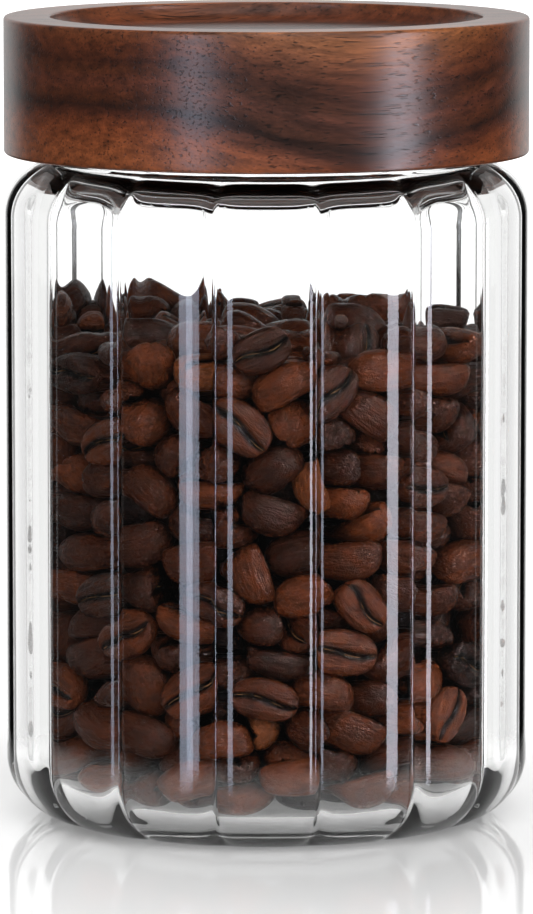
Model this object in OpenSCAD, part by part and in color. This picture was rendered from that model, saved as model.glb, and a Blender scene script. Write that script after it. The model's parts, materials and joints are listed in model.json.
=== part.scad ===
// Fluted glass food canister: a pressed glass jar with a straight neck, a thick turned wood lid
// that drops over the neck, a finned silicone ring on the lid's plug, and the coffee beans inside.
// Millimetres. The origin is the middle of the base, and +Z is up along the axis.

/* [Jar] */
// Outside diameter of the jar over the crests of its flutes
jar_d = 96; // [84:0.5:124]
// Height of the jar's shoulder above the base
shoulder_z = 120.5; // [90:0.5:160]
// Number of flutes round the jar
flute_count = 16; // [14:1:24]
// Depth of the grooves between the flutes
groove_depth = 1.3; // [0.8:0.1:1.8]
// Outside radius of the shoulder
shoulder_r = 9.5; // [8:0.5:12]
// Outside radius of the corner at the base
base_corner_r = 11; // [8:0.5:14]
// Thickness of the wall under a crest
wall = 3.6; // [3:0.1:4.4]
// Thickness of the floor
floor_t = 4.5; // [3.5:0.1:6]
// Inside radius of the corner between the wall and the floor
inner_corner_r = 8; // [5:0.5:10]
// Inside radius of the shoulder
inner_shoulder_r = 7.5; // [5:0.5:9]
// Depth of the shallow hollow under the base
punt_depth = 0.8; // [0.4:0.1:1.5]
// Width of the flat ring that the jar stands on
foot_w = 6; // [3:0.5:10]

/* [Neck] */
// Step from the crest of a flute in to the outside of the neck
neck_inset = 9; // [8:0.5:11]
// Thickness of the neck's wall
neck_wall = 3; // [2.4:0.1:4]
// Height of the neck above the shoulder
neck_h = 12; // [9:0.5:15]
// Radius of the rim's two edges
rim_r = 1.2; // [0.4:0.1:1.2]

/* [Lid] */
// Height of the lid
lid_h = 25; // [22:0.5:32]
// Radius of the lid's outer edges
lid_edge_r = 0.6; // [0.3:0.1:1.5]
// Width of the rim round the recess in the top of the lid
lid_rim_w = 8.5; // [6:0.5:14]
// Depth of the recess in the top of the lid
recess_depth = 3.5; // [2:0.1:4.5]
// Radius of the cove between the recess's wall and floor
recess_cove_r = 3; // [1:0.1:3]
// Gap between the shoulder and the underside of the lid
lid_gap = 1.5; // [0.3:0.1:2.5]
// Gap between the neck and the wood outside it
neck_clear = 0.5; // [0.3:0.05:0.7]
// Gap between the top of the neck and the wood above it
seat_gap = 0.1; // [0.05:0.05:0.3]

/* [Seal] */
// Space between the mouth of the jar and the lid's plug, which the silicone ring fills
plug_gap = 1.6; // [1.2:0.1:2.2]
// Height of the silicone ring
seal_h = 7; // [5.5:0.5:8]
// Depth of the ring's seat in the plug
seal_seat = 1.2; // [0.8:0.1:2]
// How far the ring's band stands out of its seat
seal_proud = 0.3; // [0.1:0.1:0.5]
// Number of fins on the ring
fin_count = 3; // [2:1:3]
// Thickness of a fin at its tip
fin_t = 0.7; // [0.5:0.1:1]
// Gap that lets the fins slide in the mouth
seal_slide = 0.05; // [0.02:0.01:0.08]
// Gap between the ring and the bottom of its seat
seal_seat_gap = 0.05; // [0.02:0.01:0.1]

/* [Coffee] */
// Height from the coffee at the wall up to the top of the shoulder
headspace = 34.5; // [22:0.5:60]
// How much higher the coffee stands in the middle
heap_h = 7; // [1:0.5:10]
// Gap between the coffee and the wall
fill_clear = 0.3; // [0.3:0.1:1]

/* [Hidden] */
$fn = 128;
cut = 1;                        // how far a cutter passes a face
crest_relief = 0.2;             // keeps the turned outline off the crests of the flutes

jar_r = jar_d / 2;
groove_r = jar_r - groove_depth;
half_pitch = 180 / flute_count;

// A flute is an arc through its crest and the two grooves beside it. Its centre lies on the
// line from the axis to the crest, at the distance where both are equally far away.
flute_centre = (jar_r * jar_r - groove_r * groove_r) / (2 * (jar_r - groove_r * cos(half_pitch)));
flute_r = jar_r - flute_centre;

inner_r = jar_r - wall;
inner_top_z = shoulder_z - wall;
foot_r = jar_r - base_corner_r;

neck_r = jar_r - neck_inset;
mouth_r = neck_r - neck_wall;
rim_z = shoulder_z + neck_h;

lid_r = jar_r;
lid_z = shoulder_z + lid_gap;
lid_top_z = lid_z + lid_h;
recess_r = lid_r - lid_rim_w;
recess_z = lid_top_z - recess_depth;
seat_z = rim_z + seat_gap;      // roof of the channel that the neck stands in

plug_r = mouth_r - plug_gap;
seal_mid_z = (seat_z + lid_z) / 2;
seal_z = seal_mid_z - seal_h / 2;
seal_band_r = plug_r + seal_proud;
fin_pitch = seal_h / fin_count;

fill_r = inner_r - fill_clear;
fill_z = shoulder_z - headspace;
fill_corner_r = inner_corner_r + fill_clear;

// Half section, from the axis out to r, with its lower and upper outside corners rounded.
module half_section(r, z0, z1, low_r, high_r) {
  translate([0, z0 + low_r]) square([r, z1 - z0 - low_r - high_r]);
  translate([0, z0]) square([r - low_r, low_r]);
  translate([r - low_r, z0 + low_r]) circle(low_r);
  translate([0, z1 - high_r]) square([r - high_r, high_r]);
  translate([r - high_r, z1 - high_r]) circle(high_r);
}

// Plan of the jar: a ring of overlapping arcs, one for each flute.
module flute_plan() {
  circle(flute_centre);
  for (i = [0 : flute_count - 1])
    rotate(90 + 2 * half_pitch * i) translate([flute_centre, 0]) circle(flute_r);
}

// The jar's body before it is hollowed: the fluted column with its two ends rounded over.
module jar_body() {
  intersection() {
    linear_extrude(height = shoulder_z) flute_plan();
    rotate_extrude()
      half_section(jar_r + crest_relief, 0, shoulder_z, base_corner_r, shoulder_r);
  }
}

// The straight neck, with both edges of its rim rounded once the mouth is cut.
module neck() {
  rotate_extrude() difference() {
    half_section(neck_r, shoulder_z - wall, rim_z, cut, rim_r);
    difference() {
      translate([mouth_r - cut, rim_z - rim_r]) square([cut + rim_r, rim_r + cut]);
      translate([mouth_r + rim_r, rim_z - rim_r]) circle(rim_r);
    }
  }
}

// Everything that the glass is hollow of: the inside of the jar and its mouth.
module jar_hollow() {
  rotate_extrude() half_section(inner_r, floor_t, inner_top_z, inner_corner_r, inner_shoulder_r);
  translate([0, 0, inner_top_z - cut]) cylinder(h = rim_z - inner_top_z + 2 * cut, r = mouth_r);
}

module glass_jar() {
  color([0.84, 0.90, 0.88, 0.45]) difference() {
    union() {
      jar_body();
      neck();
    }
    jar_hollow();
    translate([0, 0, -cut]) cylinder(h = punt_depth + cut, r = foot_r - foot_w);
  }
}

module wood_lid() {
  color([0.30, 0.15, 0.09]) rotate_extrude() difference() {
    half_section(lid_r, lid_z, lid_top_z, lid_edge_r, lid_edge_r);
    half_section(recess_r, recess_z, lid_top_z + recess_cove_r + cut, recess_cove_r, cut);
    translate([plug_r, lid_z - cut])
      square([neck_r + neck_clear - plug_r, seat_z - lid_z + cut]);
    translate([plug_r - seal_seat, seal_z]) square([seal_seat + cut, seal_h]);
  }
}

module seal_ring() {
  color([0.93, 0.93, 0.90]) rotate_extrude() {
    translate([plug_r - seal_seat + seal_seat_gap, seal_z])
      square([seal_band_r - plug_r + seal_seat - seal_seat_gap, seal_h]);
    // each fin leans up towards its thin tip, as it does when the lid has been pushed in
    for (i = [0 : fin_count - 1]) translate([0, seal_z + i * fin_pitch])
      polygon([
        [seal_band_r - seal_proud, 0],
        [mouth_r - seal_slide, fin_pitch - fin_t],
        [mouth_r - seal_slide, fin_pitch],
        [seal_band_r - seal_proud, fin_pitch]
      ]);
  }
}

module coffee_beans() {
  color([0.17, 0.09, 0.06]) rotate_extrude() {
    half_section(fill_r, floor_t, fill_z, fill_corner_r, 0.5);
    polygon([[0, fill_z - cut], [fill_r - cut, fill_z - cut], [fill_r - cut, fill_z], [0, fill_z + heap_h]]);
  }
}

glass_jar();
wood_lid();
seal_ring();
coffee_beans();
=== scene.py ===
"""Studio model of a food canister: a fluted glass jar, a turned wood lid and a fill of coffee beans.

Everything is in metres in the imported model's frame: the origin is the middle of the jar's foot,
+Z is up along its axis, and the front of the canister faces -Y.
"""

import json
import logging
import math
from dataclasses import dataclass, field
from enum import Enum
from functools import partial

import bpy
import numpy as np
from mathutils import Matrix, Vector

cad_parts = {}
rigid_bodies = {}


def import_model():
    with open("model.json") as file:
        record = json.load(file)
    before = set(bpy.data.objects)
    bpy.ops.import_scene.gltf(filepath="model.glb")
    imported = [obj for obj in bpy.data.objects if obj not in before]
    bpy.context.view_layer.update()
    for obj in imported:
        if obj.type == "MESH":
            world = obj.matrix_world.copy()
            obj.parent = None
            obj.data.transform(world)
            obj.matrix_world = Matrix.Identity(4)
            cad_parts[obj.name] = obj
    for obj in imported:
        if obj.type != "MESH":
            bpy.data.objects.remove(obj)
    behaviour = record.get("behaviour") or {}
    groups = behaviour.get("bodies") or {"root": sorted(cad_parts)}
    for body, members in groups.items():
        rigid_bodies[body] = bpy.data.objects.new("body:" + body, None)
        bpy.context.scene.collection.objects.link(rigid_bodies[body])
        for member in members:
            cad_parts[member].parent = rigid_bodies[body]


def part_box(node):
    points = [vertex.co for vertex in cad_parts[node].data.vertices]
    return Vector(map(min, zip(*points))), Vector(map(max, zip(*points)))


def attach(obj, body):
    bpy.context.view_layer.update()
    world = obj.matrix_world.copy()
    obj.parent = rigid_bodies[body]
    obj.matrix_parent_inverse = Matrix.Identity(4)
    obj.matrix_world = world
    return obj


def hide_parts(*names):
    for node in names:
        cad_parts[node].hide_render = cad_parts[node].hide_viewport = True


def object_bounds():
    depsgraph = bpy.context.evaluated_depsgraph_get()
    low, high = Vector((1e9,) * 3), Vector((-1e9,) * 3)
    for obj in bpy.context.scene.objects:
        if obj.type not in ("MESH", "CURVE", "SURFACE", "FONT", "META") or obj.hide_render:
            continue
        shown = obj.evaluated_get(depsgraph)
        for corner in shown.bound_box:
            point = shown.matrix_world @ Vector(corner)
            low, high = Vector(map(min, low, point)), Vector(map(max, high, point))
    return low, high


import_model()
CAD_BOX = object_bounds()

MM = 0.001
LOG = logging.getLogger("canister")

Array = np.ndarray


class Body(str, Enum):
    """The two bodies that move against each other."""

    JAR = "jar"
    LID = "lid"


class Slot(str, Enum):
    """The record's material slots."""

    GLASS = "clear_glass"
    WOOD = "dark_wood"
    SILICONE = "silicone"
    COFFEE = "roasted_coffee"


# ---------------------------------------------------------------------------------------------
# Colour, nodes and meshes
# ---------------------------------------------------------------------------------------------


def linear(hex_code: str) -> tuple[float, float, float, float]:
    """Turns an sRGB hex colour into linear light.

    Args:
        hex_code: six hex digits, such as "8a4a28".

    Returns:
        Red, green, blue and an alpha of 1.
    """
    srgb = np.array([int(hex_code[i : i + 2], 16) for i in (0, 2, 4)]) / 255
    low, high = srgb / 12.92, ((srgb + 0.055) / 1.055) ** 2.4
    red, green, blue = np.where(srgb <= 0.04045, low, high)
    return float(red), float(green), float(blue), 1.0


def between(low: float, high: float, start: float = 0.0, end: float = 1.0) -> dict[str, float]:
    """The limits of a change from start to end while a value goes from low to high."""
    return {"From Min": low, "From Max": high, "To Min": start, "To Max": end}


def add_node(tree: bpy.types.NodeTree, kind: str, inputs: dict | None = None, **settings) -> bpy.types.Node:
    """Adds one shader node.

    Args:
        tree: the node tree that gets it.
        kind: the node's type without its "ShaderNode" prefix.
        inputs: input name or number to a value, or to the output socket that feeds it.
        settings: the node's own properties.

    Returns:
        The new node.
    """
    node = tree.nodes.new("ShaderNode" + kind)
    for name, value in settings.items():
        setattr(node, name, value)
    for name, value in (inputs or {}).items():
        if isinstance(value, bpy.types.NodeSocket):
            tree.links.new(value, node.inputs[name])
        else:
            node.inputs[name].default_value = value
    return node


def colour_stops(ramp: bpy.types.Node, stops: list[tuple[float, str]]) -> None:
    """Sets a Color Ramp node's stops.

    Args:
        ramp: the node.
        stops: position and hex colour of each stop, in order.
    """
    elements = ramp.color_ramp.elements
    while len(elements) < len(stops):
        elements.new(1.0)
    for element, (place, hex_code) in zip(elements, stops):
        element.position = place
        element.color = linear(hex_code)


def new_material(name: str) -> tuple[bpy.types.Material, bpy.types.NodeTree, bpy.types.Node]:
    """Makes a material with an empty tree and a Principled shader on its output.

    Args:
        name: the finish's name.

    Returns:
        The material, its node tree and its Principled node.
    """
    material = bpy.data.materials.new(name)
    material.use_nodes = True
    tree = material.node_tree
    tree.nodes.clear()
    shader = add_node(tree, "BsdfPrincipled")
    add_node(tree, "OutputMaterial", {"Surface": shader.outputs["BSDF"]})
    return material, tree, shader


def piece_from(name: str, points: Array, quads: Array, triangles: Array | None = None) -> bpy.types.Object:
    """Makes a smooth-shaded mesh object at the origin.

    Args:
        name: the piece's name.
        points: N x 3 array of places in metres.
        quads: M x 4 array of point numbers, each face turned outwards.
        triangles: K x 3 array of point numbers, or None.

    Returns:
        The object, linked to the scene.
    """
    triangles = np.zeros((0, 3), int) if triangles is None else triangles
    mesh = bpy.data.meshes.new(name)
    mesh.vertices.add(len(points))
    mesh.vertices.foreach_set("co", points.astype(np.float32).ravel())
    corners = np.concatenate([quads.ravel(), triangles.ravel()])
    sizes = np.concatenate([np.full(len(quads), 4), np.full(len(triangles), 3)])
    mesh.loops.add(len(corners))
    mesh.loops.foreach_set("vertex_index", corners.astype(np.int32))
    mesh.polygons.add(len(sizes))
    starts = np.concatenate([[0], np.cumsum(sizes)[:-1]])
    mesh.polygons.foreach_set("loop_start", starts.astype(np.int32))
    mesh.polygons.foreach_set("use_smooth", np.ones(len(sizes), bool))
    mesh.update(calc_edges=True)
    mesh.validate()
    piece = bpy.data.objects.new(name, mesh)
    bpy.context.scene.collection.objects.link(piece)
    return piece


def place(piece: bpy.types.Object, body: Body, slot: Slot, node: str, finish: bpy.types.Material) -> None:
    """Dresses a piece, puts it on its body and lets it stand for its CAD node.

    Args:
        piece: the finished piece.
        body: the body that it rides on.
        slot: the record's slot for its finish; not used.
        node: the CAD node that it replaces.
        finish: its material.
    """
    piece.data.materials.append(finish)
    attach(piece, body.value)
    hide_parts(node)
    LOG.info("%s: %d faces, on %s", piece.name, len(piece.data.polygons), body.value)


def smooth_step(x: Array, low: float, high: float) -> Array:
    """Rises smoothly from 0 at low to 1 at high: 3 t^2 - 2 t^3 with t clipped to 0..1."""
    t = np.clip((x - low) / (high - low), 0, 1)
    return t * t * (3 - 2 * t)


@dataclass
class Outline:
    """A half section of a turned shape, drawn point by point from stretches of line and arc.

    Attributes:
        step: the longest distance between two points, in mm.
        points: the places (r, z) so far, in mm.
    """

    step: float
    points: list[Array] = field(default_factory=list)

    def line(self, *corners: tuple[float, float], step: float | None = None) -> "Outline":
        """Goes straight from the last point through each corner.

        Args:
            corners: (r, z) of each corner in mm.
            step: the longest distance between two points here, if it isn't the outline's own.

        Returns:
            The outline.
        """
        for corner in corners:
            if not self.points:
                self.points.append(np.array([corner]))
                continue
            start, end = self.points[-1][-1], np.array(corner)
            count = max(1, math.ceil(np.linalg.norm(end - start) / (step or self.step)))
            t = np.linspace(0, 1, count + 1)[1:, None]
            self.points.append(start + (end - start) * t)
        return self

    def arc(
        self, centre: tuple[float, float], radius: float, start: float, end: float, count: int
    ) -> "Outline":
        """Follows an arc: centre + radius (cos a, sin a), with a going from start to end.

        Args:
            centre: (r, z) of the arc's centre in mm.
            radius: its radius in mm.
            start: first angle in degrees, from +r towards +z.
            end: last angle in degrees.
            count: how many steps it takes.

        Returns:
            The outline.
        """
        a = np.radians(np.linspace(start, end, count + 1))
        stretch = np.stack([centre[0] + radius * np.cos(a), centre[1] + radius * np.sin(a)], 1)
        if self.points and np.linalg.norm(self.points[-1][-1] - stretch[0]) < 1e-3:
            stretch = stretch[1:]
        self.points.append(stretch)
        return self

    def array(self) -> Array:
        """All the points as one N x 2 array."""
        return np.concatenate(self.points)


def normals_of(section: Array) -> Array:
    """Unit normals of a half section, to the right of its direction of travel.

    The tangent at a point is the difference of its two neighbours, and the normal is that turned
    by a quarter turn: (dz, -dr).
    """
    tangent = np.gradient(section, axis=0)
    normal = np.stack([tangent[:, 1], -tangent[:, 0]], 1)
    return normal / np.linalg.norm(normal, axis=1, keepdims=True)


def ring_faces(rows: int, columns: int, closed: bool = False) -> Array:
    """Quads between rings of points, each ring joined up round the axis.

    Args:
        rows: number of rings.
        columns: points in each ring.
        closed: whether the last ring also joins the first.

    Returns:
        The quads, which face the right of the section's direction of travel.
    """
    i = np.arange(rows if closed else rows - 1)[:, None]
    j = np.arange(columns)[None, :]
    below, above = i * columns, (i + 1) % rows * columns
    following = (j + 1) % columns
    return np.stack([below + j, below + following, above + following, above + j], -1).reshape(-1, 4)


def pole_faces(rows: int, columns: int) -> Array:
    """Fans that close a section's two ends on the axis.

    Args:
        rows: number of rings.
        columns: points in each ring.

    Returns:
        The triangles. The poles are the two points that follow the rings, the first ring's first.
    """
    first = np.arange(columns)
    last = first + (rows - 1) * columns
    pole = np.full(columns, rows * columns)
    start = np.stack([pole, np.roll(first, -1), first], 1)
    end = np.stack([pole + 1, last, np.roll(last, -1)], 1)
    return np.concatenate([start, end])


def turned_points(section: Array, angles: Array) -> Array:
    """Carries a section of (r, z) round the axis: (r cos a, r sin a, z), as rows x columns x 3."""
    r, z = section[:, 0:1], section[:, 1:2]
    return np.stack([r * np.cos(angles), r * np.sin(angles), np.broadcast_to(z, (len(r), len(angles)))], -1)


# ---------------------------------------------------------------------------------------------
# Finishes
# ---------------------------------------------------------------------------------------------


@dataclass(frozen=True)
class PressedGlass:
    """Soda-lime glass, machine-made: clear, with a little green where the light's path is long."""

    name: str = "soda_lime_glass_pressed"
    tint: str = "ffffff"
    depth_tint: str = "b9cfb0"
    density: float = 2.5  # per metre: a 4 mm wall stays clear, and the thick foot and edges show the tint
    ior: float = 1.52

    def build(self) -> bpy.types.Material:
        """Clear, smooth and refracting, with absorption inside the glass."""
        material, tree, shader = new_material(self.name)
        shader.inputs["Base Color"].default_value = linear(self.tint)
        shader.inputs["Roughness"].default_value = 0.0
        shader.inputs["IOR"].default_value = self.ior
        shader.inputs["Transmission Weight"].default_value = 1.0
        depth = {"Color": linear(self.depth_tint), "Density": self.density}
        volume = add_node(tree, "VolumeAbsorption", depth)
        output = next(n for n in tree.nodes if n.type == "OUTPUT_MATERIAL")
        tree.links.new(volume.outputs["Volume"], output.inputs["Volume"])
        return material


@dataclass(frozen=True)
class OiledWood:
    """Acacia turned from one block and oiled: open pores along the grain, and dark figure.

    The grain runs level, across the front of the lid, and the growth layers bend down where they
    near the outside of the tree, so they cross the lid's wall as wide U shapes.
    """

    name: str = "acacia_turned_oiled"
    grain_turn: float = 23.0  # degrees from +X to the way the grain runs
    layer_drop: float = 8.0 * MM  # how far the layers bend down at the side facing outwards
    layer_power: float = 6.0
    radius: float = 48.0 * MM
    layers: tuple[tuple[float, str], ...] = (
        (118.0, "5e3018"),
        (124.0, "7d4324"),
        (129.5, "70381d"),
        (132.2, "4a2314"),
        (133.6, "2e150b"),
        (135.4, "44200f"),
        (138.6, "542a1b"),
        (140.4, "4a2412"),
        (142.2, "3c1b0d"),
        (145.0, "552915"),
        (148.5, "6b3a1f"),
        (153.0, "87502b"),
        (157.0, "70402a"),
    )
    wander: float = 2.6 * MM  # how far the layers stray from their place
    wander_size: float = 26.0 * MM
    streak_size: tuple[float, float, float] = (38.0 * MM, 2.6 * MM, 1.5 * MM)
    fibre_size: tuple[float, float, float] = (9.0 * MM, 0.42 * MM, 0.42 * MM)
    pore_length: float = 4.5 * MM
    pore_width: float = 0.26 * MM  # real pores are 0.1 to 0.2 mm, drawn a little coarser so that they show

    def build(self) -> bpy.types.Material:
        """Figure from the layers, streaks along the grain, and pores that are dark and sunk."""
        material, tree, shader = new_material(self.name)
        add = partial(add_node, tree)
        place_in = add("TexCoord").outputs["Object"]
        turn = (0, 0, -math.radians(self.grain_turn))
        grain = add("Mapping", {"Vector": place_in, "Rotation": turn}).outputs[0]

        # the layer that a point lies in: its height, bent down towards the outside of the tree
        drift = {"Vector": grain, "Scale": 1 / self.wander_size, "Detail": 3.0}
        strayed = add("TexNoise", drift).outputs["Fac"]
        strayed = add("MapRange", {"Value": strayed, **between(0, 1, -self.wander, self.wander)}).outputs[0]
        parts = add("SeparateXYZ", {"Vector": grain}).outputs
        across = add("Math", {0: parts["Y"], 1: self.radius}, operation="DIVIDE").outputs[0]
        across = add("Math", {0: across}, operation="ABSOLUTE").outputs[0]
        bend = add("Math", {0: across, 1: self.layer_power}, operation="POWER").outputs[0]
        bent = {0: bend, 1: self.layer_drop, 2: parts["Z"]}
        height = add("Math", bent, operation="MULTIPLY_ADD").outputs[0]
        layer = add("Math", {0: height, 1: strayed}, operation="ADD").outputs[0]
        low, high = self.layers[0][0], self.layers[-1][0]
        share = add("MapRange", {"Value": layer, **between(low * MM, high * MM)}).outputs[0]
        figure = add("ValToRGB", {"Fac": share})
        colour_stops(figure, [((at - low) / (high - low), code) for at, code in self.layers])

        # streaks follow the layers, and fibres are a fine flicker of tone between neighbouring bundles
        in_layers = add("CombineXYZ", {"X": parts["X"], "Y": parts["Y"], "Z": layer}).outputs[0]
        pore_size = (self.pore_length, self.pore_width, self.pore_width)
        patterns = []
        for at, size, settings in (
            (in_layers, self.streak_size, {"Scale": 1.0, "Detail": 4.0, "Roughness": 0.6}),
            (grain, self.fibre_size, {"Scale": 1.0, "Detail": 3.0, "Roughness": 0.7}),
            (grain, pore_size, {"Scale": 0.62, "Detail": 1.0}),
        ):
            spread = add("Mapping", {"Vector": at, "Scale": tuple(1 / side for side in size)}).outputs[0]
            patterns.append(add("TexNoise", {"Vector": spread, **settings}).outputs["Fac"])
        streaks, fibres, pores = patterns
        pores = add("MapRange", {"Value": pores, **between(0.60, 0.70)}).outputs[0]
        gain = 1.0
        for value, limits in (
            (streaks, between(0.3, 0.7, 0.62, 1.8)),
            (fibres, between(0.3, 0.7, 0.72, 1.28)),
            (pores, between(0.0, 1.0, 1.0, 0.34)),
        ):
            change = add("MapRange", {"Value": value, **limits}).outputs[0]
            gain = add("Math", {0: gain, 1: change}, operation="MULTIPLY").outputs[0]
        colour = add("VectorMath", {0: figure.outputs["Color"], "Scale": gain}, operation="SCALE")
        tree.links.new(colour.outputs[0], shader.inputs["Base Color"])

        rough = add("MapRange", {"Value": fibres, **between(0, 1, 0.27, 0.38)}).outputs[0]
        tree.links.new(rough, shader.inputs["Roughness"])
        shader.inputs["Specular IOR Level"].default_value = 1.0  # high: oiled wood mirrors the softboxes
        relief = add("Math", {0: fibres, 1: 0.35}, operation="MULTIPLY").outputs[0]
        relief = add("Math", {0: relief, 1: pores}, operation="SUBTRACT").outputs[0]
        bump = add("Bump", {"Height": relief, "Distance": 0.08 * MM, "Strength": 0.3})
        tree.links.new(bump.outputs[0], shader.inputs["Normal"])
        return material


@dataclass(frozen=True)
class MouldedSilicone:
    """Food-grade silicone, moulded: milky, soft and dull, with a faint bloom."""

    name: str = "silicone_moulded_clear"
    colour: str = "dcdcd2"
    bloom: str = "cfcfc4"
    bloom_size: float = 3.0 * MM

    def build(self) -> bpy.types.Material:
        """Translucent-looking white with a fine bloom in its roughness."""
        material, tree, shader = new_material(self.name)
        add = partial(add_node, tree)
        at = add("TexCoord").outputs["Object"]
        bloom = add("TexNoise", {"Vector": at, "Scale": 1 / self.bloom_size, "Detail": 3.0}).outputs["Fac"]
        tone = add("ValToRGB", {"Fac": bloom})
        colour_stops(tone, [(0.35, self.bloom), (0.65, self.colour)])
        tree.links.new(tone.outputs["Color"], shader.inputs["Base Color"])
        rough = add("MapRange", {"Value": bloom, **between(0, 1, 0.42, 0.62)}).outputs[0]
        tree.links.new(rough, shader.inputs["Roughness"])
        shader.inputs["Subsurface Weight"].default_value = 0.25
        shader.inputs["Subsurface Radius"].default_value = (1.0, 1.0, 0.9)
        shader.inputs["Subsurface Scale"].default_value = 1.5 * MM
        return material


@dataclass(frozen=True)
class RoastedBean:
    """Dark-roasted arabica: thin oil on a wrinkled brown skin, and pale silverskin in the crease."""

    name: str = "coffee_bean_dark_roast"
    ridge: float = 0.75 * MM  # spacing of the wrinkles
    ridge_length: float = 2.8 * MM
    blotch: float = 2.6 * MM
    grit: float = 0.28 * MM
    silverskin: str = "a87a50"
    skin: tuple[tuple[float, str], ...] = (
        (0.0, "220e07"),
        (0.45, "46200f"),
        (0.8, "653118"),
        (1.0, "7c4526"),
    )

    def build(self) -> bpy.types.Material:
        """Tone by bean, painted shade in the crease and deep in the fill, a broken pale line in the crease,
        wrinkles along the bean and an oily gloss.
        """
        material, tree, shader = new_material(self.name)
        add = partial(add_node, tree)
        local = add("Attribute", attribute_name="bean_place").outputs["Vector"]
        tone = add("Attribute", attribute_name="bean_tone").outputs["Fac"]
        crease = add("Attribute", attribute_name="bean_crease").outputs["Fac"]
        painted_light = add("Attribute", attribute_name="bean_painted_light").outputs["Fac"]

        skin = add("ValToRGB", {"Fac": tone})
        colour_stops(skin, list(self.skin))
        patterns = []  # their features' size along, across and through the bean
        for size, detail in (
            ((self.blotch, self.blotch, self.blotch), 4.0),
            ((self.ridge_length, self.ridge, self.ridge), 3.0),
            ((self.grit, self.grit, self.grit), 2.0),
        ):
            at = add("Mapping", {"Vector": local, "Scale": tuple(1 / side for side in size)}).outputs[0]
            patterns.append(add("TexNoise", {"Vector": at, "Scale": 1.0, "Detail": detail}).outputs["Fac"])
        blotch, wrinkles, grit = patterns
        gain = 1.0
        for value, limits in (
            (blotch, between(0.3, 0.7, 0.6, 1.3)),
            (wrinkles, between(0.3, 0.7, 0.8, 1.15)),
            # painted shade: the crease darkens to 6 % of the skin
            (crease, between(0.45, 0.72, 1.0, 0.06)),
            # painted shade and light: beans darken to 6 % deep in the fill and brighten to 125 % by the glass
            (painted_light, between(0.0, 0.9, 0.06, 1.25)),
        ):
            change = add("MapRange", {"Value": value, **limits}).outputs[0]
            gain = add("Math", {0: gain, 1: change}, operation="MULTIPLY").outputs[0]
        colour = add("VectorMath", {0: skin.outputs["Color"], "Scale": gain}, operation="SCALE").outputs[0]
        middle = add("MapRange", {"Value": crease, **between(0.9, 0.97)}).outputs[0]
        unbroken = add("MapRange", {"Value": blotch, **between(0.46, 0.56, 0.0, 0.8)}).outputs[0]
        line = add("Math", {0: middle, 1: unbroken}, operation="MULTIPLY").outputs[0]
        mixed = add("Mix", {"Factor": line, "A": colour, "B": linear(self.silverskin)}, data_type="RGBA")
        tree.links.new(mixed.outputs["Result"], shader.inputs["Base Color"])

        relief = add("Math", {0: grit, 1: 0.35, 2: wrinkles}, operation="MULTIPLY_ADD").outputs[0]
        bump = add("Bump", {"Height": relief, "Distance": 0.6 * MM, "Strength": 1.0})
        tree.links.new(bump.outputs[0], shader.inputs["Normal"])
        rough = add("MapRange", {"Value": blotch, **between(0.3, 0.7, 0.36, 0.2)}).outputs[0]
        tree.links.new(rough, shader.inputs["Roughness"])
        shader.inputs["Specular IOR Level"].default_value = 0.12  # low: the bright room would veil the skin
        return material


@dataclass(frozen=True)
class PolishedAcrylic:
    """The white sheet that the canister stands on: glossy, and glowing with painted light that is weaker near
    the canister as painted shade.
    """

    name: str = "acrylic_sheet_polished_white"
    colour: str = "dedede"
    roughness: float = 0.06
    solid_r: float = 90.0 * MM
    painted_glow: tuple[float, float] = (0.13, 0.55)  # painted light: the sheet's own glow, near the canister and further off
    painted_glow_r: tuple[float, float] = (60.0 * MM, 190.0 * MM)

    def build(self) -> bpy.types.Material:
        """White with a soft mirror on top, seen straight or through glass.

        Close to the canister, every other surface sees it too. Further off they see through it to
        dark card, as if black card lay round the object: the glass would otherwise mirror the
        bright sheet and lose its depth.
        """
        material, tree, shader = new_material(self.name)
        add = partial(add_node, tree)
        shader.inputs["Base Color"].default_value = linear(self.colour)
        shader.inputs["Roughness"].default_value = self.roughness
        at = add("NewGeometry").outputs["Position"]
        away = add("VectorMath", {0: at}, operation="LENGTH").outputs["Value"]
        # painted light: the sheet glows more the further it lies from the canister, so the ring round it
        # reads as shade
        painted_glow_strength = add("MapRange", {"Value": away, **between(*self.painted_glow_r, *self.painted_glow)}).outputs[0]
        tree.links.new(painted_glow_strength, shader.inputs["Emission Strength"])

        path = add("LightPath").outputs
        bounces = add("Math", {0: path["Glossy Depth"], 1: path["Diffuse Depth"]}, operation="ADD").outputs[0]
        bounced = add("Math", {0: bounces, 1: 0.5}, operation="GREATER_THAN").outputs[0]
        limits = between(self.solid_r, self.solid_r * 1.5)
        beyond = add("MapRange", {"Value": away, **limits}, interpolation_type="SMOOTHSTEP").outputs[0]
        covered = add("Math", {0: bounced, 1: beyond}, operation="MULTIPLY").outputs[0]
        card = add("BsdfTransparent")
        mix = add("MixShader", {0: covered, 1: shader.outputs[0], 2: card.outputs[0]})
        output = next(n for n in tree.nodes if n.type == "OUTPUT_MATERIAL")
        tree.links.new(mix.outputs[0], output.inputs["Surface"])
        return material


# ---------------------------------------------------------------------------------------------
# The glass jar
# ---------------------------------------------------------------------------------------------


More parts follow.
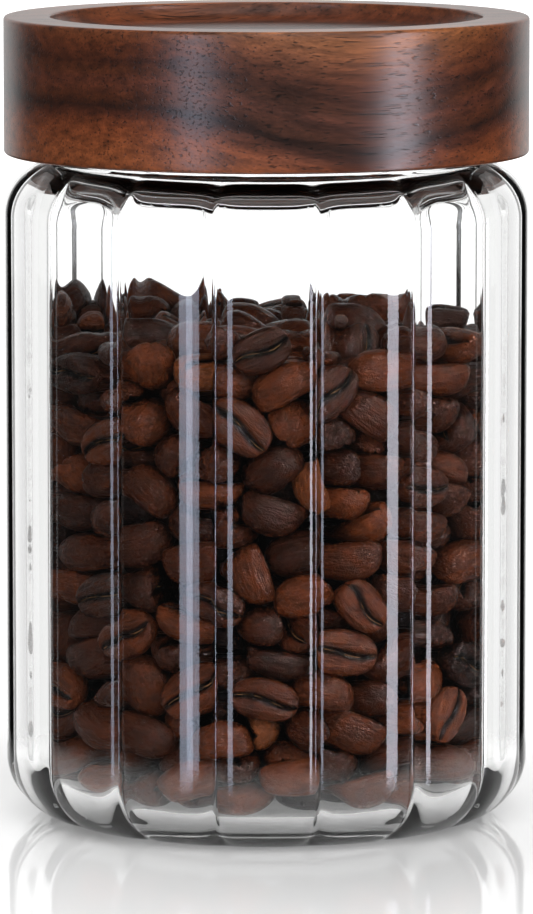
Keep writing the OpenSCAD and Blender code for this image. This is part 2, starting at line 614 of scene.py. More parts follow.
@dataclass
class GlassJar:
    """The fluted jar with its hidden neck. Sizes in mm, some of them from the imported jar's box."""

    name: str = "jar_fluted_glass"
    flutes: int = 16
    groove_depth: float = 1.3
    groove_sharpness: float = 7.0  # per mm: how sharply two flutes meet
    flute_power: float = 6.0  # 2 is evenly round, and more is flat in the middle and steep at the grooves
    shoulder_r: float = 9.5
    base_corner_r: float = 11.0
    wall: float = 3.6
    floor_t: float = 4.5
    inner_corner_r: float = 8.0
    inner_shoulder_r: float = 5.9
    punt_depth: float = 0.8
    foot_w: float = 6.0
    neck_inset: float = 9.0
    neck_wall: float = 3.0
    neck_h: float = 12.0
    rim_r: float = 1.2
    neck_fillet: float = 1.0
    columns_per_flute: int = 32

    def __post_init__(self) -> None:
        """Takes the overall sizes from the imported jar."""
        low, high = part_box("glass_jar")
        self.crest_r: float = high.y / MM
        self.rim_z: float = high.z / MM
        self.shoulder_z: float = self.rim_z - self.neck_h
        self.inner_r: float = self.crest_r - self.wall
        self.neck_r: float = self.crest_r - self.neck_inset
        self.mouth_r: float = self.neck_r - self.neck_wall

    def flute_depth(self, angles: Array) -> Array:
        """How far the outside lies inside its crest circle, at each angle round the axis.

        With s the share of the half pitch between a crest and the point, one flute lies
        groove depth x s^power inside the circle. The surface takes the outermost of
        the flutes beside each other, softened: -log(sum(exp(-k depth))) / k.

        Args:
            angles: the angles, in radians.

        Returns:
            The depths in mm, in the shape of angles.
        """
        half = math.pi / self.flutes
        offset = (angles + math.pi / 2 + half) % (2 * half) - half
        joined = 0.0
        for neighbour in (-1, 0, 1):
            share = np.abs(offset + 2 * half * neighbour) / half
            joined = joined + np.exp(-self.groove_sharpness * self.groove_depth * share**self.flute_power)
        return np.maximum(-np.log(joined) / self.groove_sharpness, 0)

    def outer(self) -> tuple[Array, Array]:
        """The outside's half section, from the foot up to the rim, and how far each point is fluted."""
        foot_r = self.crest_r - self.base_corner_r
        punt_r = foot_r - self.foot_w
        turn_r = self.crest_r - self.shoulder_r
        turn_z = self.shoulder_z - self.shoulder_r
        fillet = self.neck_fillet
        fillet_r = self.neck_r + fillet
        rise = math.sqrt((self.shoulder_r + fillet) ** 2 - (fillet_r - turn_r) ** 2)
        lean = math.degrees(math.atan2(rise, fillet_r - turn_r))
        section = Outline(2.0)
        section.line((1.0, self.punt_depth), (punt_r - 1.5, self.punt_depth), step=4.0)
        section.line((punt_r, 0.05), (punt_r + 0.4, 0.0), step=0.5).line((foot_r, 0.0), step=2.0)
        section.arc((foot_r, self.base_corner_r), self.base_corner_r, -90, 0, 22)
        section.line((self.crest_r, turn_z), step=6.0)
        section.arc((turn_r, turn_z), self.shoulder_r, 0, lean, 24)
        section.arc((fillet_r, turn_z + rise), fillet, 180 + lean, 180, 6)
        section.line((self.neck_r, self.rim_z - self.rim_r), step=3.0)
        section.arc((self.neck_r - self.rim_r, self.rim_z - self.rim_r), self.rim_r, 0, 90, 6)
        points = section.array()
        r, z = points[:, 0], points[:, 1]
        up_corner = np.where(z < self.base_corner_r, smooth_step(r, foot_r + 0.5, foot_r + 5.0), 1.0)
        over_shoulder = np.where(z > turn_z, smooth_step(r, fillet_r + 0.5, fillet_r + 5.5), 1.0)
        on_wall = (r > foot_r) & (z < turn_z + rise - 0.01)
        return points, up_corner * over_shoulder * on_wall

    def inner(self) -> Array:
        """The inside's half section, from the rim down to the middle of the floor."""
        top_z = self.shoulder_z - self.wall
        turn_r, turn_z = self.inner_r - self.inner_shoulder_r, top_z - self.inner_shoulder_r
        lip = turn_r - self.mouth_r
        corner_r, corner_z = self.inner_r - self.inner_corner_r, self.floor_t + self.inner_corner_r
        section = Outline(2.0)
        section.arc((self.mouth_r + self.rim_r, self.rim_z - self.rim_r), self.rim_r, 90, 180, 6)
        section.line((self.mouth_r, top_z + lip), step=3.0)
        section.arc((self.mouth_r + lip, top_z + lip), lip, 180, 270, 6)
        section.arc((turn_r, turn_z), self.inner_shoulder_r, 90, 0, 18)
        section.line((self.inner_r, corner_z), step=6.0)
        section.arc((corner_r, corner_z), self.inner_corner_r, 0, -90, 16)
        section.line((1.0, self.floor_t), step=4.0)
        return section.array()

    def build(self) -> bpy.types.Object:
        """One closed shell: the outside carried round the axis with its flutes, then the inside."""
        columns = self.flutes * self.columns_per_flute
        angles = np.arange(columns) * 2 * math.pi / columns
        outside, fluted = self.outer()
        inside = self.inner()
        section = np.concatenate([outside, inside])
        sunk = self.flute_depth(angles)[None, :] * fluted[:, None]
        depth = np.concatenate([sunk, np.zeros((len(inside), columns))])
        normal = np.concatenate([normals_of(outside), -normals_of(inside)])
        points = turned_points(section, angles)
        points[..., 0] -= depth * normal[:, 0:1] * np.cos(angles)
        points[..., 1] -= depth * normal[:, 0:1] * np.sin(angles)
        points[..., 2] -= depth * normal[:, 1:2]
        rows = len(section)
        poles = np.array([[0, 0, self.punt_depth], [0, 0, self.floor_t]])
        everything = np.concatenate([points.reshape(-1, 3), poles]) * MM
        return piece_from(self.name, everything, ring_faces(rows, columns), pole_faces(rows, columns))


# ---------------------------------------------------------------------------------------------
# The lid and its seal
# ---------------------------------------------------------------------------------------------


@dataclass
class WoodLid:
    """The turned lid: rim and recess on top, channel for the neck and plug underneath. Sizes in mm."""

    name: str = "lid_turned_wood"
    edge_r: float = 0.6
    rim_w: float = 8.5
    recess_depth: float = 3.5
    cove_r: float = 3.0
    neck_clear: float = 0.5
    plug_gap: float = 1.6
    seat_gap: float = 0.1
    seal_seat: float = 1.2
    columns: int = 256

    def build(self, jar: GlassJar) -> bpy.types.Object:
        """One closed turned shell.

        Args:
            jar: the jar that it sits on, for the neck's sizes.

        Returns:
            The lid.
        """
        low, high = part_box("wood_lid")
        seal_low, seal_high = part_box("seal_ring")
        radius, bottom, top = CAD_BOX[1][1] / MM, low.z / MM, high.z / MM
        recess_r, recess_z = radius - self.rim_w, top - self.recess_depth
        channel_r = jar.neck_r + self.neck_clear
        plug_r = jar.mouth_r - self.plug_gap
        roof = jar.rim_z + self.seat_gap
        edge, lip = self.edge_r, 0.4
        seat_low, seat_high = seal_low.z / MM, seal_high.z / MM
        section = Outline(2.0)
        section.line((1.0, bottom), (plug_r - 0.4, bottom)).arc((plug_r - 0.4, bottom + 0.4), 0.4, -90, 0, 4)
        seat_r = plug_r - self.seal_seat
        section.line((plug_r, seat_low), (seat_r, seat_low), (seat_r, seat_high))
        section.line((plug_r, seat_high), (plug_r, roof), (channel_r, roof), (channel_r, bottom + lip))
        section.arc((channel_r + lip, bottom + lip), lip, 180, 270, 4)
        section.line((radius - edge, bottom), step=1.2).arc((radius - edge, bottom + edge), edge, -90, 0, 6)
        section.line((radius, top - edge), step=1.2).arc((radius - edge, top - edge), edge, 0, 90, 6)
        section.line((recess_r + lip, top), step=1.2).arc((recess_r + lip, top - lip), lip, 90, 180, 4)
        section.arc((recess_r - self.cove_r, recess_z + self.cove_r), self.cove_r, 0, -90, 10)
        section.line((1.0, recess_z))
        points = section.array()
        angles = np.arange(self.columns) * 2 * math.pi / self.columns
        everything = turned_points(points, angles).reshape(-1, 3)
        poles = np.array([[0, 0, bottom], [0, 0, recess_z]])
        everything = np.concatenate([everything, poles]) * MM
        faces = ring_faces(len(points), self.columns)
        return piece_from(self.name, everything, faces, pole_faces(len(points), self.columns))


# ---------------------------------------------------------------------------------------------
# The coffee beans
# ---------------------------------------------------------------------------------------------


def attribute(piece: bpy.types.Object, name: str, kind: str, values: Array) -> None:
    """Gives each point of a piece a value that its material can read.

    Args:
        piece: the piece.
        name: the attribute's name.
        kind: FLOAT or FLOAT_VECTOR.
        values: one value or one row of three for each point.
    """
    layer = piece.data.attributes.new(name, kind, "POINT")
    layer.data.foreach_set("vector" if kind == "FLOAT_VECTOR" else "value", values.astype(np.float32).ravel())


def rotations(q: Array) -> Array:
    """Rotation matrices of unit quaternions (w, x, y, z), all at once."""
    w, x, y, z = q.T
    return np.stack(
        [
            np.stack([1 - 2 * (y * y + z * z), 2 * (x * y - w * z), 2 * (x * z + w * y)], -1),
            np.stack([2 * (x * y + w * z), 1 - 2 * (x * x + z * z), 2 * (y * z - w * x)], -1),
            np.stack([2 * (x * z - w * y), 2 * (y * z + w * x), 1 - 2 * (x * x + y * y)], -1),
        ],
        1,
    )


@dataclass
class Pour:
    """Rigid beans falling into the jar and settling. One unit of the simulation is 10 mm."""

    unit: float = 0.1  # simulation units per mm
    gravity: float = -30.0
    frames: int = 110
    substeps: int = 8
    wall_top: float = 480.0
    core_low: float = 64.0
    core_high: float = 76.0

    def solid(self, name: str, points: Array, faces: list, stock: bpy.types.Collection, shape: str) -> None:
        """Adds something that stays still.

        Args:
            name: its name.
            points: its points in mm.
            faces: its faces, as lists of point numbers.
            stock: the simulation's collection.
            shape: Bullet's collision shape for it.
        """
        mesh = bpy.data.meshes.new(name)
        mesh.from_pydata((points * self.unit).tolist(), [], faces)
        still = bpy.data.objects.new(name, mesh)
        stock.objects.link(still)
        still.rigid_body.type = "PASSIVE"
        still.rigid_body.mesh_source = "BASE"
        still.rigid_body.collision_shape = shape
        still.rigid_body.friction = 0.25
        still.rigid_body.use_margin = True
        still.rigid_body.collision_margin = 0.01

    def run(
        self, inside: Array, core_r: float, hulls: list[Array], kind: Array, at: Array, turned: Array
    ) -> tuple[Array, Array]:
        """Pours the beans.

        Args:
            inside: the jar's inside section (r, z) from the top down, in mm.
            core_r: radius of the still core in the middle, in mm.
            hulls: a few points of each kind of bean, in mm.
            kind: each bean's kind.
            at: N x 3 places where the beans start, in mm.
            turned: N x 4 unit quaternions (w, x, y, z) that they start with.

        Returns:
            The places in mm and the quaternions at which they come to rest.
        """
        scene = bpy.context.scene
        bpy.ops.rigidbody.world_add()
        world = scene.rigidbody_world
        stock = bpy.data.collections.new("pour")
        scene.collection.children.link(stock)
        world.collection = stock
        world.substeps_per_frame = self.substeps
        world.solver_iterations = 12
        world.point_cache.frame_start = 1
        world.point_cache.frame_end = self.frames
        old_gravity = tuple(scene.gravity)
        scene.gravity = (0, 0, self.gravity)

        columns = 72
        angles = np.arange(columns) * math.tau / columns
        section = np.concatenate([[[inside[:, 0].max(), self.wall_top]], inside[inside[:, 1] < 110]])
        wall = turned_points(section, angles).reshape(-1, 3)
        middle = len(wall)
        faces = ring_faces(len(section), columns).tolist()
        last = (len(section) - 1) * columns
        faces += [[last + j, last + (j + 1) % columns, middle] for j in range(columns)]
        self.solid("pour_wall", np.concatenate([wall, [[0, 0, inside[-1, 1]]]]), faces, stock, "MESH")
        rim = np.array([[core_r, inside[-1, 1]], [core_r, self.core_low], [core_r * 0.4, self.core_high]])
        core = turned_points(rim, angles[::3]).reshape(-1, 3)
        self.solid("pour_core", core, ring_faces(3, columns // 3).tolist(), stock, "CONVEX_HULL")

        shapes = []
        for i, hull in enumerate(hulls):
            shape = bpy.data.meshes.new(f"pour_shape_{i}")
            shape.from_pydata((hull * self.unit).tolist(), [], [[0, 1, 2]])
            shapes.append(shape)
        beans = []
        for i, (k, place_at, turn) in enumerate(zip(kind, at, turned)):
            bean = bpy.data.objects.new(f"pour_{i:04d}", shapes[k])
            bean.rotation_mode = "QUATERNION"
            bean.location = place_at * self.unit
            bean.rotation_quaternion = turn
            stock.objects.link(bean)
            rigid = bean.rigid_body
            rigid.collision_shape = "CONVEX_HULL"
            rigid.mesh_source = "BASE"
            rigid.friction = 0.3
            rigid.restitution = 0.0
            rigid.linear_damping = 0.08
            rigid.angular_damping = 0.25
            rigid.use_margin = True
            rigid.collision_margin = 0.01
            beans.append(bean)
        for step in range(1, self.frames + 1):
            scene.frame_set(step)
        seen = bpy.context.evaluated_depsgraph_get()
        rest = np.array([np.array(bean.evaluated_get(seen).matrix_world) for bean in beans])

        bpy.ops.rigidbody.world_remove()
        for leftover in list(stock.objects):
            bpy.data.objects.remove(leftover)
        bpy.data.collections.remove(stock)
        scene.gravity = old_gravity
        scene.frame_set(1)
        settled = [Matrix(pose.tolist()).to_quaternion() for pose in rest]
        return rest[:, :3, 3] / self.unit, np.array(settled)


@dataclass
class CoffeeFill:
    """Roasted beans, each a small closed surface, against the glass and heaped on top. Sizes in mm."""

    length: float = 11.0
    width: float = 8.3
    thickness: float = 6.3
    rings: int = 7
    kinds: int = 14
    parts: int = 4
    core_r: float = 30.0
    seed: int = 7
    cage: float = 1.05  # the rounded bean is a little smaller than its cage of points
    start_gap: float = 12.6  # between the beans' starting places
    wall_layers: int = 30
    wall_ring: tuple[int, float] = (18, 37.1)  # beans in a ring, and its radius
    heap_layers: int = 6
    heap_rings: tuple[tuple[int, float], ...] = ((1, 0.0), (6, 12.4), (12, 24.4))
    heap_start: float = 86.0
    painted_shade_depth: tuple[float, float] = (8.0, 1.6)  # painted shade by depth from the glass: darkest at the first, none within the second
    # the painted shade fades out between these heights, on top of the fill
    painted_shade_height: tuple[float, float] = (79.0, 86.0)
    pour: Pour = field(default_factory=Pour)

    # across the bean from one rim, over the flat side with its crease, to the other rim and back over
    # the top: (share of the half width measured from the crease, share of the thickness)
    FLAT = ((-1.0, 0.16), (-0.6, 0.0), (-0.1, 0.0), (0.0, 0.28), (0.1, 0.0), (0.6, 0.0), (1.0, 0.16))
    BACK = ((0.86, 0.62), (0.45, 0.93), (0.0, 1.0), (-0.45, 0.93), (-0.86, 0.62))

    def bean(self, rng: np.random.Generator) -> tuple[Array, Array]:
        """One bean about its own middle.

        Each ring across the bean is the same D shape, shrunk towards the two tips by
        cos(t)^0.7 at the distance half length x sin t along it. The crease's three columns
        follow y = sway x sin(pi x / length + phase).

        Args:
            rng: the source of this bean's proportions.

        Returns:
            The points in mm, rings first and the two tips last, and each point's share of crease.
        """
        half_l = self.length / 2 * rng.uniform(0.9, 1.1)
        half_w = self.width / 2 * rng.uniform(0.92, 1.1)
        thick = self.thickness * rng.uniform(0.85, 1.1)
        sway, phase = rng.uniform(0.1, 0.22) * half_w, rng.uniform(-0.5, 0.5)
        t = np.linspace(-0.5, 0.5, self.rings + 2)[1:-1] * math.pi
        x = half_l * np.sin(t)
        shrink = np.cos(t) ** 0.7
        shape = np.array(self.FLAT + self.BACK)
        on_flat = np.arange(len(shape)) < len(self.FLAT)
        crease_line = sway * np.sin(math.pi * x / half_l + phase)
        follow = np.where(on_flat, 1 - np.abs(shape[:, 0]) ** 2, 0.0)
        y = half_w * shape[None, :, 0] * shrink[:, None] + crease_line[:, None] * follow[None, :]
        z = thick * (0.12 + (shape[None, :, 1] - 0.12) * shrink[:, None] ** 0.9)
        bumps = rng.normal(0, 0.11, (self.rings, len(shape)))
        z = z + bumps * (1 - 0.5 * on_flat)
        y = y + rng.normal(0, 0.06, y.shape)
        grid = np.stack([np.broadcast_to(x[:, None], y.shape), y, z - thick * 0.45], -1).reshape(-1, 3)
        tips = np.array([[-half_l, 0, thick * -0.3], [half_l, 0, thick * -0.3]])
        share = np.where(on_flat & (np.abs(shape[:, 0]) < 0.2), 1 - 4 * np.abs(shape[:, 0]), 0.0)
        crease = np.tile(share, self.rings)
        return np.concatenate([grid, tips]), np.concatenate([crease, [0.4, 0.4]])

    def bean_faces(self) -> tuple[Array, Array]:
        """Quads between a bean's rings and the fans that close its tips."""
        columns = len(self.FLAT) + len(self.BACK)
        return ring_faces(self.rings, columns), pole_faces(self.rings, columns)

    def lattice(self, jar: GlassJar) -> tuple[Array, Array]:
        """Where the beans start: rings of loose beans above each other, turned every way.

        Args:
            jar: the jar that they are poured into.

        Returns:
            N x 3 places in mm and N x 4 unit quaternions.
        """
        rng = np.random.default_rng(self.seed)
        places: list[tuple[float, float, float]] = []
        count, r = self.wall_ring
        for layer in range(self.wall_layers):
            z = jar.floor_t + 8 + layer * self.start_gap
            angles = layer * 0.37 + np.arange(count) * math.tau / count
            places += [(r * math.cos(a), r * math.sin(a), z) for a in angles]
        for layer in range(self.heap_layers):
            z = self.heap_start + layer * self.start_gap
            for count, r in self.heap_rings:
                angles = np.arange(count) * math.tau / count + layer
                places += [(r * math.cos(a), r * math.sin(a), z) for a in angles]
        at = np.array(places)
        q = rng.normal(size=(len(at), 4))
        return at, q / np.linalg.norm(q, axis=1, keepdims=True)

    def hull(self, points: Array) -> Array:
        """The few outer points of a bean that the simulation needs: every other ring, without the crease."""
        columns = len(self.FLAT) + len(self.BACK)
        crease = (2, 3, 4)
        outside = [i for i in range(columns) if i not in crease]
        rings = points[:-2].reshape(self.rings, columns, 3)[::2][:, outside]
        return np.concatenate([rings.reshape(-1, 3), points[-2:]])

    def painted_light(self, points: Array, jar: GlassJar) -> Array:
        """How much painted light a point gets, in place of the shade between beans: 1 at the glass or on top
        of the fill, 0 deep between beans.

        Args:
            points: places in mm, x, y and z last.
            jar: the jar that they lie in.

        Returns:
            The shares, one for each point.
        """
        deep, shallow = (jar.inner_r - depth for depth in self.painted_shade_depth)
        by_glass = smooth_step(np.hypot(points[..., 0], points[..., 1]), deep, shallow)
        return np.maximum(by_glass, smooth_step(points[..., 2], *self.painted_shade_height))

    def keep_inside(self, points: Array, jar: GlassJar) -> Array:
        """Moves each bean in from the glass by as much as any of its points would touch it.

        Args:
            points: beans x points x 3, in mm.
            jar: the jar that they lie in.

        Returns:
            The moved points.
        """
        gap = 0.15
        corner_z = jar.floor_t + jar.inner_corner_r
        corner_r = jar.inner_r - jar.inner_corner_r
        lift = np.clip(jar.floor_t + gap - points[..., 2].min(1), 0, None)
        points[..., 2] += lift[:, None]
        drop = np.clip(corner_z - points[..., 2], 0, jar.inner_corner_r)
        room = corner_r + np.sqrt(np.clip(jar.inner_corner_r**2 - drop**2, 0, None)) - gap
        over = np.clip((np.hypot(points[..., 0], points[..., 1]) - room).max(1), 0, None)
        middle = points[..., :2].mean(1)
        inward = middle / np.linalg.norm(middle, axis=1, keepdims=True)
        points[..., :2] -= (inward * over[:, None])[:, None, :]
        return points

    def build(self, jar: GlassJar) -> list[bpy.types.Object]:
        """Shapes the kinds of bean, pours them and joins the poured beans into a few pieces.

        Args:
            jar: the jar that they lie in.

        Returns:
            The pieces, each a wedge of the fill.
        """
        rng = np.random.default_rng(self.seed)
        kinds = [self.bean(rng) for _ in range(self.kinds)]
        at, turned = self.lattice(jar)
        kind = rng.integers(0, self.kinds, len(at))
        hulls = [self.hull(points) for points, _ in kinds]
        at, turned = self.pour.run(jar.inner(), self.core_r, hulls, kind, at, turned)
        local = np.stack([points for points, _ in kinds])[kind]
        crease = np.stack([share for _, share in kinds])[kind]
        points = np.einsum("nij,nvj->nvi", rotations(turned), local * self.cage) + at[:, None, :]
        points = self.keep_inside(points, jar)
        tone = np.clip(rng.normal(0.45, 0.2, len(at)), 0, 1)
        shift = rng.uniform(-40, 40, (len(at), 1, 3))
        wedge = ((np.arctan2(at[:, 1], at[:, 0]) + math.pi) / math.tau * self.parts).astype(int) % self.parts
        quads, triangles = self.bean_faces()
        pieces = []
        for part in range(self.parts):
            mine = wedge == part
            count, size = int(mine.sum()), local.shape[1]
            base = np.arange(count)[:, None, None] * size
            piece = piece_from(
                f"coffee_beans_{part + 1}",
                points[mine].reshape(-1, 3) * MM,
                (quads[None] + base).reshape(-1, 4),
                (triangles[None] + base).reshape(-1, 3),
            )
            attribute(piece, "bean_place", "FLOAT_VECTOR", ((local + shift)[mine] * MM).reshape(-1, 3))
            attribute(piece, "bean_tone", "FLOAT", np.repeat(tone[mine], size))
            attribute(piece, "bean_crease", "FLOAT", crease[mine].ravel())
            # each point's painted light, which darkens the beans deep in the fill
            attribute(piece, "bean_painted_light", "FLOAT", self.painted_light(points[mine], jar).ravel())
            rounded = piece.modifiers.new("rounded", "SUBSURF")
            rounded.levels = rounded.render_levels = 1
            pieces.append(piece)
        return pieces

    def core(self, jar: GlassJar) -> bpy.types.Object:
        """The middle that the beans hide, a lumpy column, r x (1 + 0.05 sin(5a) sin(z)), painted in deep
        shade.
        """
        columns = 60
        angles = np.arange(columns) * math.tau / columns
        bottom, side = jar.floor_t + 1.5, self.core_r - 3
        outline = Outline(4.0)
        outline.line((1.0, bottom), (side, bottom), (side, self.pour.core_low - 4))
        outline.line((self.core_r * 0.4, self.pour.core_high - 4), (1.0, self.pour.core_high - 3))
        section = outline.array()
        points = turned_points(section, angles)
        lumps = 0.05 * np.sin(5 * angles)[None, :] * np.sin(section[:, 1:2]) * (section[:, 0:1] > 20)
        points[..., :2] *= 1 + lumps[..., None]
        rows = len(section)
        poles = np.array([[0, 0, bottom], [0, 0, self.pour.core_high - 3]])
        everything = np.concatenate([points.reshape(-1, 3), poles]) * MM
        piece = piece_from("coffee_core", everything, ring_faces(rows, columns), pole_faces(rows, columns))
        # no painted-light share: the beans' material paints the core nearly black as deep shade
        attribute(piece, "bean_place", "FLOAT_VECTOR", everything)
        return piece


# ---------------------------------------------------------------------------------------------
# The seal
# ---------------------------------------------------------------------------------------------


@dataclass
class SealRing:
    """The silicone ring: a band in the plug's seat with thin fins that lean up. Sizes in mm."""

    name: str = "seal_silicone_ring"
    fins: int = 3
    fin_t: float = 0.7
    proud: float = 0.3
    slide: float = 0.05
    seat_gap: float = 0.05
    columns: int = 192

    def build(self, jar: GlassJar, lid: WoodLid) -> bpy.types.Object:
        """A closed ring: its half section goes round the band and out along each fin.

        Args:
            jar: the jar, for its mouth.
            lid: the lid, for the seat in its plug.

        Returns:
            The ring.
        """
        low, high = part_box("seal_ring")
        bottom, top = low.z / MM, high.z / MM
        plug_r = jar.mouth_r - lid.plug_gap
        back_r, band_r = plug_r - lid.seal_seat + self.seat_gap, plug_r + self.proud
        tip_r = jar.mouth_r - self.slide
        pitch = (top - bottom) / self.fins
        section = Outline(0.7)
        section.line((back_r, bottom), (band_r, bottom))
        for fin in range(self.fins):
            root, above = bottom + fin * pitch, bottom + (fin + 1) * pitch
            tip_z = above - self.fin_t
            section.line((band_r, root + 0.15), (tip_r - 0.15, tip_z), (tip_r, tip_z + 0.2))
            section.line((tip_r, above - 0.2), (tip_r - 0.2, above - 0.02), (band_r, above - 0.02))
        section.line((back_r, top))
        section.line((back_r, bottom + 0.7))
        points = section.array()
        angles = np.arange(self.columns) * math.tau / self.columns
        everything = turned_points(points, angles).reshape(-1, 3) * MM
        return piece_from(self.name, everything, ring_faces(len(points), self.columns, closed=True))


# ---------------------------------------------------------------------------------------------
# The studio
# ---------------------------------------------------------------------------------------------


@dataclass
class SoftBox:
    """A tall soft light standing round the canister."""

    name: str
    azimuth: float  # degrees to the right of the front, seen from above
    distance: float  # m
    size: tuple[float, float]  # width and height in m
    middle: float  # height of its middle in m
    radiance: float
    colour: str

    def build(self, target: Vector) -> None:
        """Stands the light up and turns it to the canister.

        Args:
            target: the point that it faces.
        """
        lamp = bpy.data.lights.new(self.name, "AREA")
        lamp.shape = "RECTANGLE"
        lamp.size, lamp.size_y = self.size
        lamp.energy = self.radiance * math.pi * self.size[0] * self.size[1]
        lamp.color = linear(self.colour)[:3]
        light = bpy.data.objects.new(self.name, lamp)
        a = math.radians(self.azimuth)
        light.location = (self.distance * math.sin(a), -self.distance * math.cos(a), self.middle)
        light.rotation_euler = (target - light.location).to_track_quat("-Z", "Y").to_euler()
        light.visible_camera = False
        light.visible_diffuse = False
        bpy.context.scene.collection.objects.link(light)


@dataclass
class Studio:
    """White surroundings with dark flags between them, a glossy white sheet, soft lights and the camera."""

    camera_distance: float = 1.2
    camera_height: float = 0.222
    camera_pitch: float = 7.42
    focal_length: float = 259.0
    wall_tone: float = 1.02
    behind_tone: float = 1.38  # makes up for what the glass takes on the way through
    wall_start: float = 0.2  # seen from inside the glass, the wall is behind this share of +Y
    far_wall_start: float = 0.77  # and this share, seen from outside it
    card_tone: float = 0.02
    edge_tone: float = 0.7  # what is mirrored twice inside the glass
    front_tone: float = 0.06  # what matt wood and the outside of the glass mirror of the room in front
    ceiling_tone: float = 0.25
    flag_half: float = 1.3  # degrees
    flag_top: float = 42.0
    flag_tone: float = 0.12
    # round lights: azimuth and height in degrees, the cosines from their middle at which they start
    # and are full, and their tone
    key: tuple[float, ...] = (12.0, 36.0, 0.68, 0.95, 3.4)
    rim: tuple[float, ...] = (205.0, 36.0, 0.6, 0.95, 1.4)
    shine: tuple[float, ...] = (42.0, 34.0, 0.92, 0.985, 120.0)  # draws the beans' oily highlights
    fill_tone: float = 0.03
    sky_tone: float = 0.22
    boxes: tuple[SoftBox, ...] = (
        SoftBox("softbox_right", 60.0, 1.5, (0.32, 1.4), -0.4, 9.0, "f2f1ff"),
        SoftBox("softbox_left", -31.0, 1.5, (0.33, 1.4), -0.4, 5.0, "dfe8ff"),
    )

    def camera(self) -> None:
        """A long lens in front of the canister, looking down a little."""
        lens = bpy.data.cameras.new("camera")
        lens.lens = self.focal_length
        lens.sensor_width = 36.0
        lens.sensor_fit = "AUTO"
        lens.clip_end = 100.0
        lens.dof.use_dof = False
        camera = bpy.data.objects.new("camera", lens)
        camera.location = (0, -self.camera_distance, self.camera_height)
        camera.rotation_euler = (math.radians(90 - self.camera_pitch), 0, 0)
        bpy.context.scene.collection.objects.link(camera)
        bpy.context.scene.camera = camera

    def floor(self) -> None:
        """The sheet that the canister stands on, with its back edge far away."""
        half = 14.0
        corners = np.array([[-half, -half, 0], [half, -half, 0], [half, half, 0], [-half, half, 0]])
        sheet = piece_from("studio_sheet", corners, np.array([[0, 1, 2, 3]]))
        sheet.location.z = -0.0002
        sheet.data.materials.append(PolishedAcrylic().build())

    def surroundings(self) -> None:
        """The white cyclorama, by what the light's path has met since the camera.

        Straight on: white. Through glass: white with a dark flag midway between every two eighths
        of the compass, which draw the glass's edges. Mirrored: a white wall behind the canister and
        a dim room in front, which the inside of the glass sees as white, and dark card below the
        horizon. After a matt surface: a key light in front, a rim light behind and a dim sky.
        """
        world = bpy.data.worlds.new("surroundings")
        bpy.context.scene.world = world
        world.use_nodes = True
        world.cycles.sampling_method = "NONE"
        tree = world.node_tree
        tree.nodes.clear()
        add = partial(add_node, tree)
        smooth = {"interpolation_type": "SMOOTHSTEP"}
        ray = add("TexCoord").outputs["Generated"]
        way = add("SeparateXYZ", {"Vector": ray}).outputs
        path = add("LightPath").outputs
        had = {}  # whether the path has had a bounce of a kind
        for kind in ("Transmission Depth", "Glossy Depth", "Diffuse Depth"):
            had[kind] = add("Math", {0: path[kind], 1: 0.5}, operation="GREATER_THAN").outputs[0]
        lamps = []
        for azimuth, height, start, full, tone in (self.key, self.rim, self.shine):
            turn, rise = math.radians(azimuth), math.radians(height)
            middle = Vector((math.sin(turn), -math.cos(turn), math.tan(rise))).normalized()
            towards = add("VectorMath", {0: ray, 1: middle}, operation="DOT_PRODUCT").outputs["Value"]
            ramp = {"Value": towards, **between(start, full, 0.0, tone)}
            lamps.append(add("MapRange", ramp, **smooth).outputs[0])
        key, rim, shine = lamps

        # through glass
        compass = add("Math", {0: way["Y"], 1: way["X"]}, operation="ARCTAN2").outputs[0]
        eighth, soft = math.pi / 8, math.radians(1.0)
        edge = eighth - math.radians(self.flag_half)
        from_eighth = add("Math", {0: compass, 1: eighth}, operation="PINGPONG").outputs[0]
        ramp = {"Value": from_eighth, **between(edge - soft, edge + soft)}
        beside = add("MapRange", ramp, **smooth).outputs[0]
        height = add("Math", {0: way["Z"]}, operation="ABSOLUTE").outputs[0]
        top = math.sin(math.radians(self.flag_top))
        ramp = {"Value": height, **between(top - 0.03, top + 0.03, 1.0, 0.0)}
        below_top = add("MapRange", ramp, **smooth).outputs[0]
        flag = add("Math", {0: beside, 1: below_top}, operation="MULTIPLY").outputs[0]
        tones = {"To Min": self.behind_tone, "To Max": self.flag_tone}
        through = add("MapRange", {"Value": flag, **tones}).outputs[0]

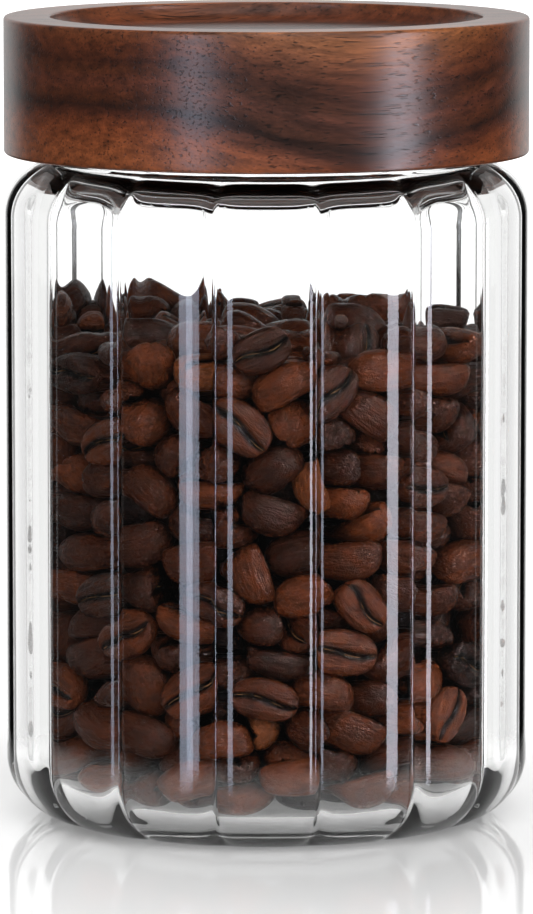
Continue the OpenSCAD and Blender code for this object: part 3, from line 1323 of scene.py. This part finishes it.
        # mirrored
        part = {}
        for name, axis, limits in (
            ("horizon", "Z", between(math.sin(math.radians(-0.5)), math.sin(math.radians(2.0)))),
            ("level", "Z", between(-0.24, -0.17)),
            ("behind", "Y", between(self.wall_start - 0.08, self.wall_start + 0.08)),
            ("far", "Y", between(self.far_wall_start - 0.09, self.far_wall_start + 0.09)),
            ("ceiling", "Z", between(0.5, 0.7, 1.0, self.ceiling_tone)),
        ):
            part[name] = add("MapRange", {"Value": way[axis], **limits}, **smooth).outputs[0]
        behind = add("Math", {0: part["behind"], 1: part["level"]}, operation="MULTIPLY").outputs[0]
        far = add("Math", {0: part["far"], 1: part["level"]}, operation="MULTIPLY").outputs[0]
        front = {0: part["horizon"], 1: self.front_tone}
        front = add("Math", front, operation="MULTIPLY").outputs[0]
        from_inside = add("Math", {0: part["horizon"], 1: behind}, operation="MAXIMUM").outputs[0]
        from_outside = add("Math", {0: far, 1: front}, operation="MAXIMUM").outputs[0]
        sides = {"To Min": from_outside, "To Max": from_inside}
        wall = add("MapRange", {"Value": had["Transmission Depth"], **sides}).outputs[0]
        wall = add("MapRange", {"Value": wall, "To Min": self.card_tone, "To Max": 1.0}).outputs[0]
        wall = add("Math", {0: wall, 1: part["ceiling"]}, operation="MULTIPLY").outputs[0]
        twice = add("Math", {0: path["Glossy Depth"], 1: 1.5}, operation="GREATER_THAN").outputs[0]
        twice = add("Math", {0: twice, 1: self.edge_tone}, operation="MULTIPLY").outputs[0]
        wall = add("Math", {0: wall, 1: twice}, operation="MAXIMUM").outputs[0]
        in_jar = {0: path["Transmission Depth"], 1: 2.5}  # the shine is only for what lies in the jar
        in_jar = add("Math", in_jar, operation="GREATER_THAN").outputs[0]
        shine = add("Math", {0: shine, 1: in_jar}, operation="MULTIPLY").outputs[0]
        mirrored = add("Math", {0: wall, 1: shine}, operation="ADD").outputs[0]

        # after a matt surface
        sky = between(-0.2, 1.0, self.fill_tone, self.fill_tone + self.sky_tone)
        fill = add("MapRange", {"Value": way["Z"], **sky}, **smooth).outputs[0]
        for lamp in (key, rim):
            fill = add("Math", {0: fill, 1: lamp}, operation="ADD").outputs[0]

        tone = self.wall_tone
        for kind, met in zip(had, (through, mirrored, fill)):
            tone = add("MapRange", {"Value": had[kind], "To Min": tone, "To Max": met}).outputs[0]
        background = add("Background", {"Color": linear("ffffff"), "Strength": tone})
        add("OutputWorld", {"Surface": background.outputs[0]})

    def build(self) -> None:
        """Camera first, then the sheet, the surroundings and the lights."""
        self.camera()
        self.floor()
        self.surroundings()
        for box in self.boxes:
            box.build(Vector((0, 0, box.middle)))
        bpy.context.scene.view_settings.view_transform = "Standard"


def main() -> None:
    """Builds the studio, then each piece in turn."""
    logging.basicConfig(level=logging.INFO, format="%(name)s: %(message)s")
    Studio().build()

    jar = GlassJar()
    place(jar.build(), Body.JAR, Slot.GLASS, "glass_jar", PressedGlass().build())

    lid = WoodLid()
    place(lid.build(jar), Body.LID, Slot.WOOD, "wood_lid", OiledWood().build())
    seal = SealRing()
    place(seal.build(jar, lid), Body.LID, Slot.SILICONE, "seal_ring", MouldedSilicone().build())

    fill = CoffeeFill()
    roasted = RoastedBean().build()
    for piece in [*fill.build(jar), fill.core(jar)]:
        place(piece, Body.JAR, Slot.COFFEE, "coffee_beans", roasted)


if __name__ == "__main__":
    main()
